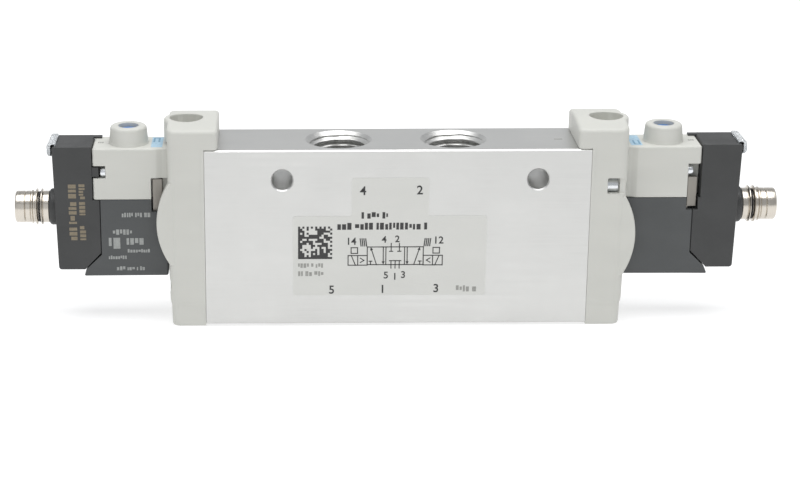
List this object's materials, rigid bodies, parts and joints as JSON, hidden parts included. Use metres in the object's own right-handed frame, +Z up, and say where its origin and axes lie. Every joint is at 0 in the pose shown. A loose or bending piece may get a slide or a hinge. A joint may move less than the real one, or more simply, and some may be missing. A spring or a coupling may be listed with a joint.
{
  "type": "solenoid directional valve",
  "caption": "In-line pneumatic directional valve: flat aluminium body with threaded ports, sliding spool, plastic end caps and a pilot solenoid with round plug and push override at each end.",
  "frame": {"origin": "centre of the footprint on the plane that both end caps stand on", "axes": "+X along the spool towards the right-hand pilot, -Y towards the labelled front face, +Z up towards the outlet ports and overrides"},
  "size_m": [0.1664, 0.018, 0.0452],
  "materials": {
    "aluminium_body": "extruded, fine brushed and clear anodised, satin",
    "label_film": "satin printed polyester film",
    "spool_aluminium": "ground and hard anodised",
    "rubber": "moulded nitrile",
    "cap_plastic": "fine-grained moulded polyamide, warm light grey",
    "zinc_steel": "bright zinc plate",
    "nickel_brass": "nickel plated turned brass",
    "blue_plastic": "moulded, semi-gloss",
    "coil_plastic": "moulded slate grey, fine grain",
    "yoke_steel": "nickel plated soft iron, satin",
    "bobbin_plastic": "natural glass-filled polyamide",
    "copper_wire": "enamelled copper wire",
    "black_plastic": "moulded black, fine grain",
    "circuit_board": "solder resist on glass fibre",
    "clear_plastic": "clear moulded polycarbonate",
    "spring_steel": "drawn stainless wire"
  },
  "bodies": {
    "valve": {"valve_body": "aluminium_body", "type_label": "label_film", "end_cap_left": "cap_plastic", "cap_gasket_left": "rubber", "cap_screw_upper_left": "zinc_steel", "cap_screw_lower_left": "zinc_steel", "pilot_housing_left": "cap_plastic", "pilot_screw_a_left": "zinc_steel", "pilot_screw_b_left": "zinc_steel", "override_collar_left": "cap_plastic", "solenoid_case_left": "coil_plastic", "solenoid_yoke_left": "yoke_steel", "coil_bobbin_left": "bobbin_plastic", "coil_winding_left": "copper_wire", "pole_core_left": "yoke_steel", "plug_base_left": "black_plastic", "led_board_left": "circuit_board", "light_guide_left": "clear_plastic", "plug_sleeve_left": "nickel_brass", "plug_o_ring_left": "rubber", "contact_carrier_left": "black_plastic", "override_spring_left": "spring_steel", "armature_spring_left": "spring_steel", "centring_spring_left": "spring_steel", "end_cap_right": "cap_plastic", "cap_gasket_right": "rubber", "cap_screw_upper_right": "zinc_steel", "cap_screw_lower_right": "zinc_steel", "pilot_housing_right": "cap_plastic", "pilot_screw_a_right": "zinc_steel", "pilot_screw_b_right": "zinc_steel", "override_collar_right": "cap_plastic", "solenoid_case_right": "coil_plastic", "solenoid_yoke_right": "yoke_steel", "coil_bobbin_right": "bobbin_plastic", "coil_winding_right": "copper_wire", "pole_core_right": "yoke_steel", "plug_base_right": "black_plastic", "led_board_right": "circuit_board", "light_guide_right": "clear_plastic", "plug_sleeve_right": "nickel_brass", "plug_o_ring_right": "rubber", "contact_carrier_right": "black_plastic", "override_spring_right": "spring_steel", "armature_spring_right": "spring_steel", "centring_spring_right": "spring_steel"},
    "spool_set": {"spool": "spool_aluminium", "spool_seal_outlet_left": "rubber", "spool_seal_outlet_right": "rubber", "spool_seal_exhaust_left": "rubber", "spool_seal_exhaust_right": "rubber", "spool_end_seal_left": "rubber", "spool_end_seal_right": "rubber"},
    "armature_left": {"armature_left": "yoke_steel"},
    "override_stem_left": {"override_stem_left": "nickel_brass"},
    "override_button_left": {"override_button_left": "blue_plastic"},
    "armature_right": {"armature_right": "yoke_steel"},
    "override_stem_right": {"override_stem_right": "nickel_brass"},
    "override_button_right": {"override_button_right": "blue_plastic"}
  },
  "joints": [
    {"name": "spool_slide", "type": "slide", "parent": "valve", "child": "spool_set", "axis": [1, 0, 0], "range_m": [-0.003, 0.003], "stiffness_N_per_m": 2400, "deforming": ["centring_spring_left", "centring_spring_right"]},
    {"name": "armature_slide_left", "type": "slide", "parent": "valve", "child": "armature_left", "axis": [0, 0, -1], "range_m": [0, 0.0005], "stiffness_N_per_m": 600, "springref_m": -0.002, "deforming": ["armature_spring_left"]},
    {"name": "override_press_left", "type": "slide", "parent": "valve", "child": "override_stem_left", "axis": [0, 0, -1], "range_m": [0, 0.0015], "stiffness_N_per_m": 1200, "springref_m": -0.0015, "deforming": ["override_spring_left"]},
    {"name": "override_turn_left", "type": "hinge", "parent": "override_stem_left", "child": "override_button_left", "pos_m": [-0.0581, 0, 0.0415], "axis": [0, 0, 1], "range_deg": [0, 90]},
    {"name": "armature_slide_right", "type": "slide", "parent": "valve", "child": "armature_right", "axis": [0, 0, -1], "range_m": [0, 0.0005], "stiffness_N_per_m": 600, "springref_m": -0.002, "deforming": ["armature_spring_right"]},
    {"name": "override_press_right", "type": "slide", "parent": "valve", "child": "override_stem_right", "axis": [0, 0, -1], "range_m": [0, 0.0015], "stiffness_N_per_m": 1200, "springref_m": -0.0015, "deforming": ["override_spring_right"]},
    {"name": "override_turn_right", "type": "hinge", "parent": "override_stem_right", "child": "override_button_right", "pos_m": [0.0581, 0, 0.0415], "axis": [0, 0, 1], "range_deg": [0, 90]}
  ]
}
